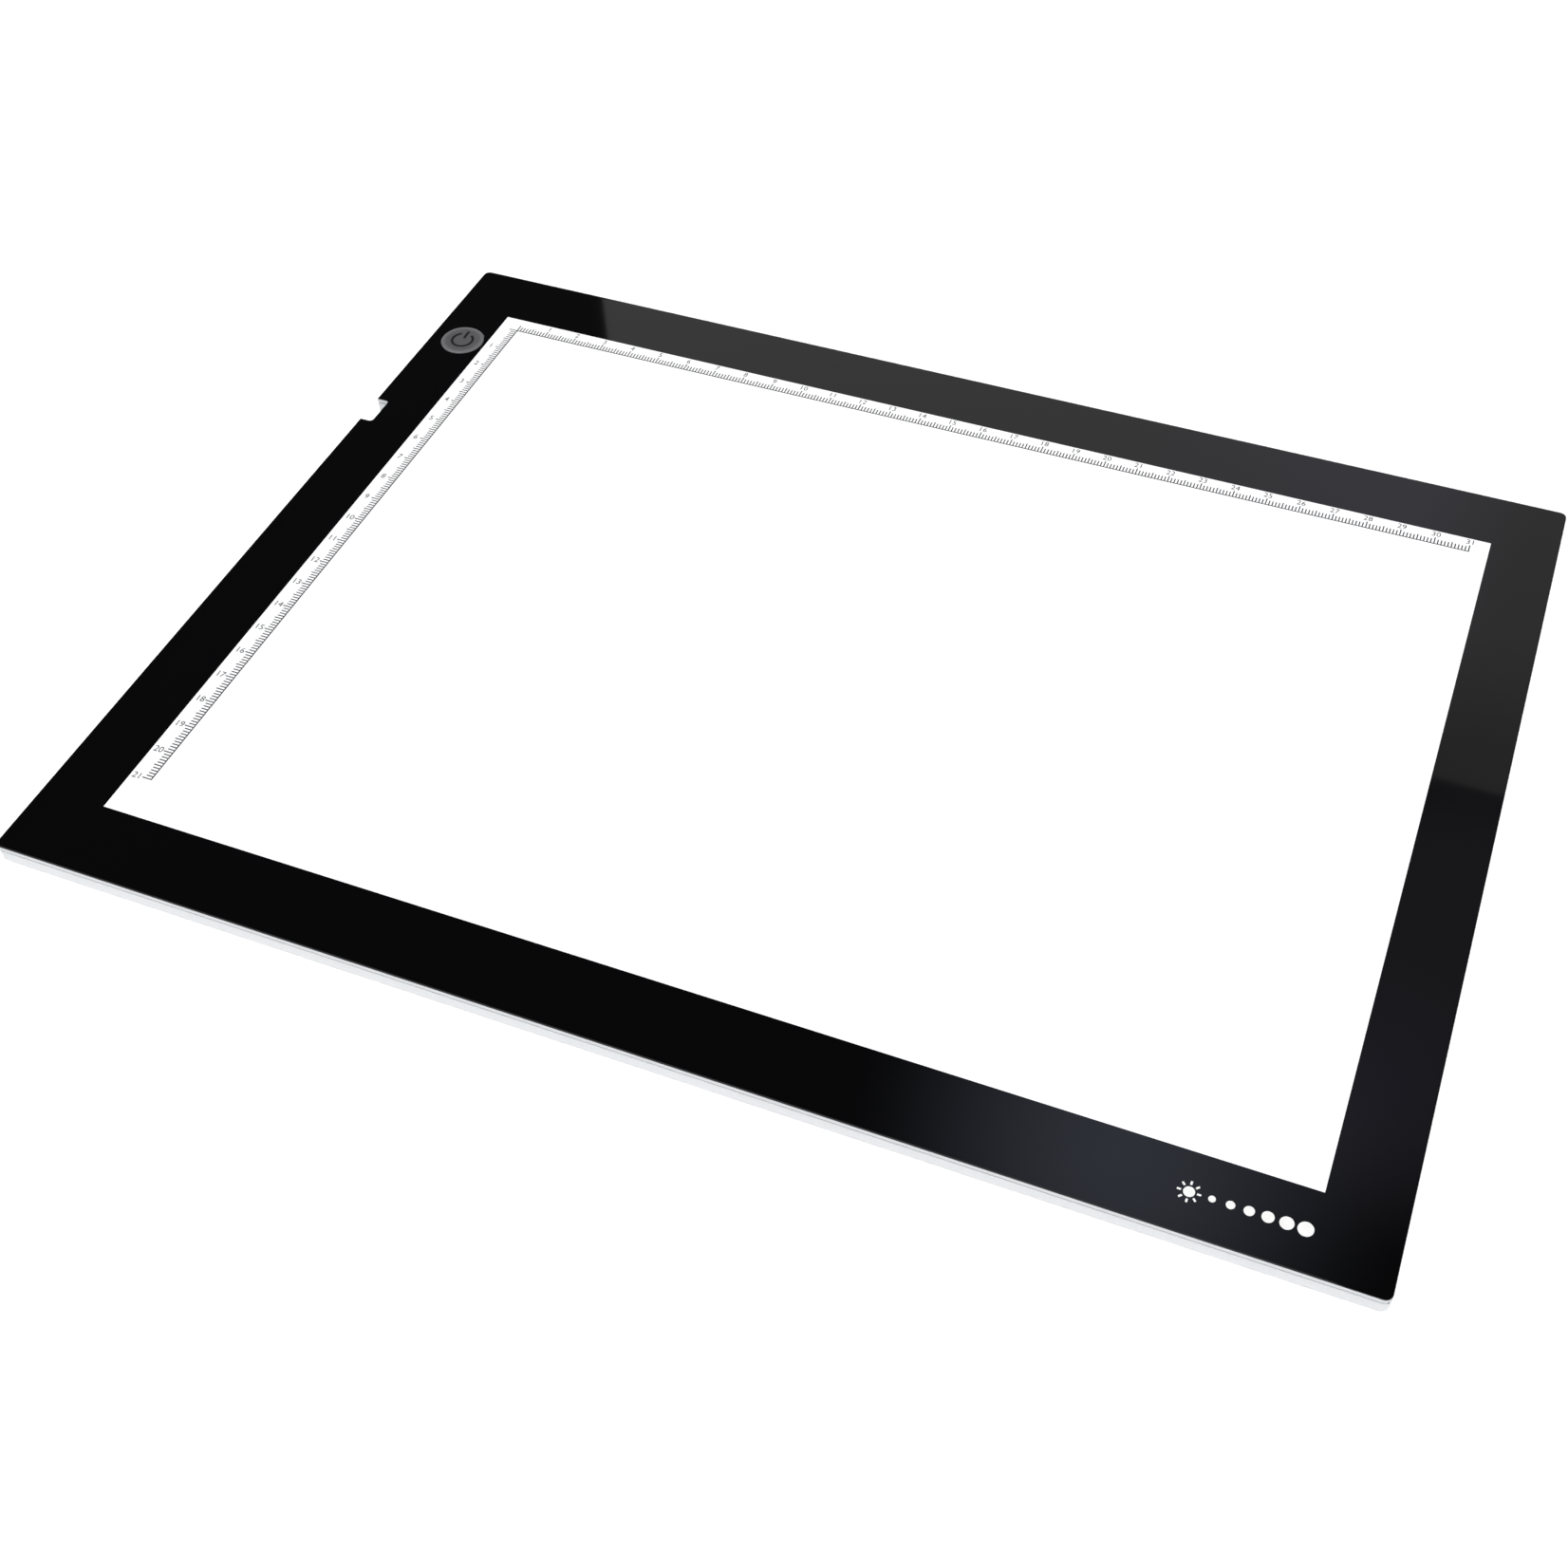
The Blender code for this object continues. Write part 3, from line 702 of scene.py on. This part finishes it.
mark = [lay_disc((SUN_X, MARK_Y), SUN_RADIUS)]
for ray in range(RAY_COUNT):
    turn = 2 * math.pi / RAY_COUNT * ray
    bar = lay_ink((0, 0), RAY_SIZE)
    bar.rotation_euler.z = turn
    bar.location.x = (SUN_X + RAY_OUT * math.cos(turn)) * MM
    bar.location.y = (MARK_Y + RAY_OUT * math.sin(turn)) * MM
    mark.append(bar)
for dot in range(DOT_COUNT):
    mark.append(lay_disc((SUN_X + FIRST_DOT + dot * DOT_STEP, MARK_Y), DOT_LEAST + dot * DOT_GROWTH))
mark = join_pieces(mark)
finish_piece(mark, "brightness_mark", white_ink)


# ---- power key ----
# A dished disc of grey ABS with a spun finish: fine circles run round its face, and a painted highlight
# lightens the face towards its rim. A ring and bar are printed on it in a darker grey.
DISH_RADIUS, DISH_SINK, DISC_RADIUS, HIGHLIGHT_FROM, HIGHLIGHT_TO = 60.0, 0.12, 6.9, 0.72, 0.98
CIRCLE_PITCH, CIRCLE_DEPTH = 0.11, 0.002
key_low, key_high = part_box("switch_plunger")
key_middle = (key_low + key_high) / 2 / MM
key_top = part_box("power_key")[1].z / MM
key = Finish("spun_grey", (0.14, 0.14, 0.145), 0.35, Metallic=0.35)
off_centre = from_middle(key, key_middle)
circles = off_centre.math("SINE", off_centre * (2 * math.pi / CIRCLE_PITCH))
key_dust = key.noise(1.2, 3.0)
# Painted highlight: the outer part of the face is painted lighter, where the spun finish would catch the
# light.
painted_rim_highlight = key.rise(off_centre, DISC_RADIUS * HIGHLIGHT_FROM, DISC_RADIUS * HIGHLIGHT_TO)
key_face = key.mix(key_dust, (0.105, 0.105, 0.108), (0.125, 0.125, 0.128))
key.feed(Base_Color=key.mix(painted_rim_highlight, key_face, (0.2, 0.2, 0.205)), Roughness=0.3 + key_dust * 0.15)
key.bump(circles, CIRCLE_DEPTH)
key.cover("power_key")

key_ink = printed_ink("key_ink", (0.006, 0.006, 0.0065), 0.8)
RING_RADIUS, RING_GAP, RING_STEPS = 3.4, 62.0, 56
BAR_START, BAR_END, BAR_BEVEL = 1.0, 4.6, 0.02
PRINT_WIDE, PRINT_THICK = 0.85, 0.06


def dish_level(radius):
    """The height of the key's dished face that far from its middle, in millimetres."""
    return key_top - DISH_SINK + radius * radius / 2 / DISH_RADIUS


bpy.ops.object.select_all(action="DESELECT")
bpy.ops.mesh.primitive_plane_add(
    size=1, location=(RING_RADIUS * MM, 0, 0), rotation=(math.radians(90), 0, 0)
)
ring = bpy.context.object
ring.scale = (PRINT_WIDE * MM, PRINT_THICK * MM, 1)
bpy.ops.object.transform_apply(location=True, rotation=True, scale=True)
pick_faces(ring, (0, 0, 1), least=-2)
bpy.ops.mesh.spin(
    steps=RING_STEPS, angle=math.radians(360 - RING_GAP), center=(0, 0, 0), axis=(0, 0, 1)
)
bpy.ops.mesh.select_all(action="SELECT")
bpy.ops.mesh.normals_make_consistent(inside=False)
bpy.ops.object.mode_set(mode="OBJECT")
ring.rotation_euler.z = math.radians(90 - RING_GAP / 2)
ring.location = Vector((*key_middle.xy, dish_level(RING_RADIUS))) * MM

bar_long, bar_low, bar_high = BAR_END - BAR_START, dish_level(BAR_START), dish_level(BAR_END)
bar_place = (key_middle.x, key_middle.y + (BAR_START + BAR_END) / 2, (bar_low + bar_high) / 2)
bar = add_block(bar_place, (PRINT_WIDE, bar_long, PRINT_THICK), BAR_BEVEL)
bar.rotation_euler.x = math.atan((bar_high - bar_low) / bar_long)
key_mark = join_pieces([ring, bar])
finish_piece(key_mark, "key_mark", key_ink, "power_button")


# ---- underside label field ----
# A blank satin label on the cover's underside, its corners rounded, with a printed frame line.
LABEL_MIDDLE, LABEL_SIZE, LABEL_THICK, LABEL_SUNK = (0.0, -40.0), (70.0, 32.0), 0.06, 0.01
LABEL_CORNER, LINE_IN, LINE_HALF = 2.5, 2.0, 0.2
label_film = Finish("label_film", (0.4, 0.41, 0.42), 0.4, Metallic=0.3)
label_x, label_y, _ = label_film.axes()
past_side, past_end = (
    abs(axis - middle) - size / 2
    for axis, middle, size in zip((label_x, label_y), LABEL_MIDDLE, LABEL_SIZE)
)
frame_line = abs(past_side.bigger(past_end) + LINE_IN) < LINE_HALF
film_cloud = label_film.noise(0.8, 3.0)
label_face = label_film.mix(film_cloud, (0.36, 0.37, 0.38), (0.44, 0.45, 0.46))
label_film.feed(
    Base_Color=label_film.mix(frame_line, label_face, (0.06, 0.06, 0.06)), Roughness=0.34 + film_cloud * 0.14
)
cover_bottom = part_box("back_cover")[0].z / MM
label_place = (*LABEL_MIDDLE, cover_bottom - LABEL_THICK / 2 + LABEL_SUNK)
label = add_block(label_place, (*LABEL_SIZE, LABEL_THICK))
corner = label.modifiers.new("corner", "BEVEL")
corner.width, corner.segments, corner.limit_method = LABEL_CORNER * MM, 6, "WEIGHT"
weights = label.data.attributes.new("bevel_weight_edge", "FLOAT", "EDGE")
for edge in label.data.edges:
    ends = [label.data.vertices[index].co for index in edge.vertices]
    weights.data[edge.index].value = 1.0 if abs(ends[0].z - ends[1].z) > LABEL_THICK / 2 * MM else 0.0
finish_piece(label, "underside_label", label_film)


# ---- floor ----
# A wide white paper sweep, lit until it is nearly pure white.
FLOOR_SIZE, FLOOR_LEVEL = 60.0, -0.05
bpy.ops.object.select_all(action="DESELECT")
bpy.ops.mesh.primitive_plane_add(size=FLOOR_SIZE, location=(0, 0, FLOOR_LEVEL * MM))
floor = bpy.context.object
floor.name = "floor"
paper = Finish("white_sweep", (0.95, 0.95, 0.95), 0.9, Specular_IOR_Level=0.1)
floor.data.materials.append(paper.material)


# ---- light ----
# A bright horizon over grey walls, a dark ceiling with three soft glows, two broad lamps behind the
# camera, and a dim softbox at the back. The glows and the softbox are what the gloss border mirrors.
world = bpy.data.worlds.new("studio")
world.use_nodes = True
bpy.context.scene.world = world
bpy.context.scene.view_settings.view_transform = "Standard"
room = Graph(world.node_tree)
toward = room.node("ShaderNodeTexCoord", {}, {}, "Generated")
level = room.node("ShaderNodeSeparateXYZ", {}, {"Vector": toward}, "Z")
HORIZON_COLOUR, WALL_COLOUR, CEILING_COLOUR = (1.05, 1.05, 1.05), (0.2, 0.2, 0.205), (0.04, 0.04, 0.042)
GLOWS = (
    (5, 51.5, 3, 7.5, (0.18, 0.18, 0.2)),
    (4, 55, 0, 5, (0.25, 0.235, 0.32)),
    (-7.1, 58.6, 0, 8, (0.66, 0.72, 0.92)),
)


def up_to(low, high):
    """From 0 at a low elevation to 1 at a high one, both in degrees."""
    return room.rise(level, math.sin(math.radians(low)), math.sin(math.radians(high)))


def part_of_sky(azimuth, elevation, inner, outer):
    """1 within the inner angle of a direction, easing to 0 at the outer one, in degrees."""
    azimuth, elevation = math.radians(azimuth), math.radians(elevation)
    flat = math.cos(elevation)
    direction = (math.sin(azimuth) * flat, math.cos(azimuth) * flat, math.sin(elevation))
    nearness = room.node(
        "ShaderNodeVectorMath", {"operation": "DOT_PRODUCT"}, {0: toward, 1: direction}, "Value"
    )
    return room.rise(nearness.math("ARCCOSINE", nearness), math.radians(outer), math.radians(inner))


ceiling = CEILING_COLOUR
for *where, glow_colour in GLOWS:
    ceiling = room.mix(part_of_sky(*where), ceiling, glow_colour)
low_sky = room.mix(up_to(3, 13), HORIZON_COLOUR, WALL_COLOUR)
sky = room.mix(up_to(16, 29), low_sky, ceiling)
room.set(world.node_tree.nodes["Background"].inputs["Color"], sky)


def place_light(data, place, aim):
    """Hangs a light at its place, looking at its aim, unseen by the camera."""
    lamp = bpy.data.objects.new(data.name, data)
    bpy.context.scene.collection.objects.link(lamp)
    lamp.location = place
    lamp.rotation_euler = (Vector(aim) - Vector(place)).to_track_quat("-Z", "Y").to_euler()
    lamp.visible_camera = False
    return lamp


BROAD_LIGHTS = (
    ("key_light", (0.7, -1.5, 2.6), 3.5, 42, False),
    ("fill_light", (-1.6, -1.0, 2.4), 0.9, 70, True),
)
for name, place, strength, spread, mirrored in BROAD_LIGHTS:
    broad = bpy.data.lights.new(name, "SUN")
    broad.energy, broad.angle = strength, math.radians(spread)
    place_light(broad, place, (0, 0, 0)).visible_glossy = mirrored

SOFTBOX_X, SOFTBOX_Y, SOFTBOX_Z = -0.16, 1.5, 1.28
softbox = bpy.data.lights.new("softbox", "AREA")
softbox.shape, softbox.size, softbox.size_y = "RECTANGLE", 1.52, 0.56
softbox.energy = math.pi * softbox.size * softbox.size_y
place_light(softbox, (SOFTBOX_X, SOFTBOX_Y, SOFTBOX_Z), (SOFTBOX_X, 0.0, SOFTBOX_Z))
softbox.use_nodes = True
cloth = Graph(softbox.node_tree)
spot = cloth.node("ShaderNodeNewGeometry", {}, {}, "Position")
along, up = (cloth.node("ShaderNodeSeparateXYZ", {}, {"Vector": spot}, axis) for axis in ("X", "Z"))
shade = cloth.mix(cloth.rise(along, -0.3, 0.1), (0.57, 0.57, 0.57), (0.62, 0.61, 0.72))
shade = cloth.mix(cloth.rise(along, 0.1, 0.26), shade, (0.45, 0.45, 0.45))
shade = cloth.mix(cloth.rise(up, 1.26, 1.6), shade, (0.25, 0.25, 0.252))
cloth.set(softbox.node_tree.nodes["Emission"].inputs["Color"], shade)


# ---- camera ----
# A short lens stands over the front right corner and looks down across the box, turned by
# about a degree about its own axis.
camera_data = bpy.data.cameras.new("camera")
camera = bpy.data.objects.new("camera", camera_data)
bpy.context.scene.collection.objects.link(camera)
bpy.context.scene.camera = camera
CAMERA_PLACE = Vector((0.1462, -0.3572, 0.3985))
CAMERA_AZIMUTH, CAMERA_ELEVATION, CAMERA_ROLL = 21.93, 48.81, -1.1
camera_data.lens = 45.57
camera_data.shift_x = -0.0392
camera_data.clip_start = 0.01
camera.matrix_world = (
    Matrix.Translation(CAMERA_PLACE)
    @ Matrix.Rotation(math.radians(CAMERA_AZIMUTH), 4, "Z")
    @ Matrix.Rotation(math.radians(90 - CAMERA_ELEVATION), 4, "X")
    @ Matrix.Rotation(math.radians(CAMERA_ROLL), 4, "Z")
)
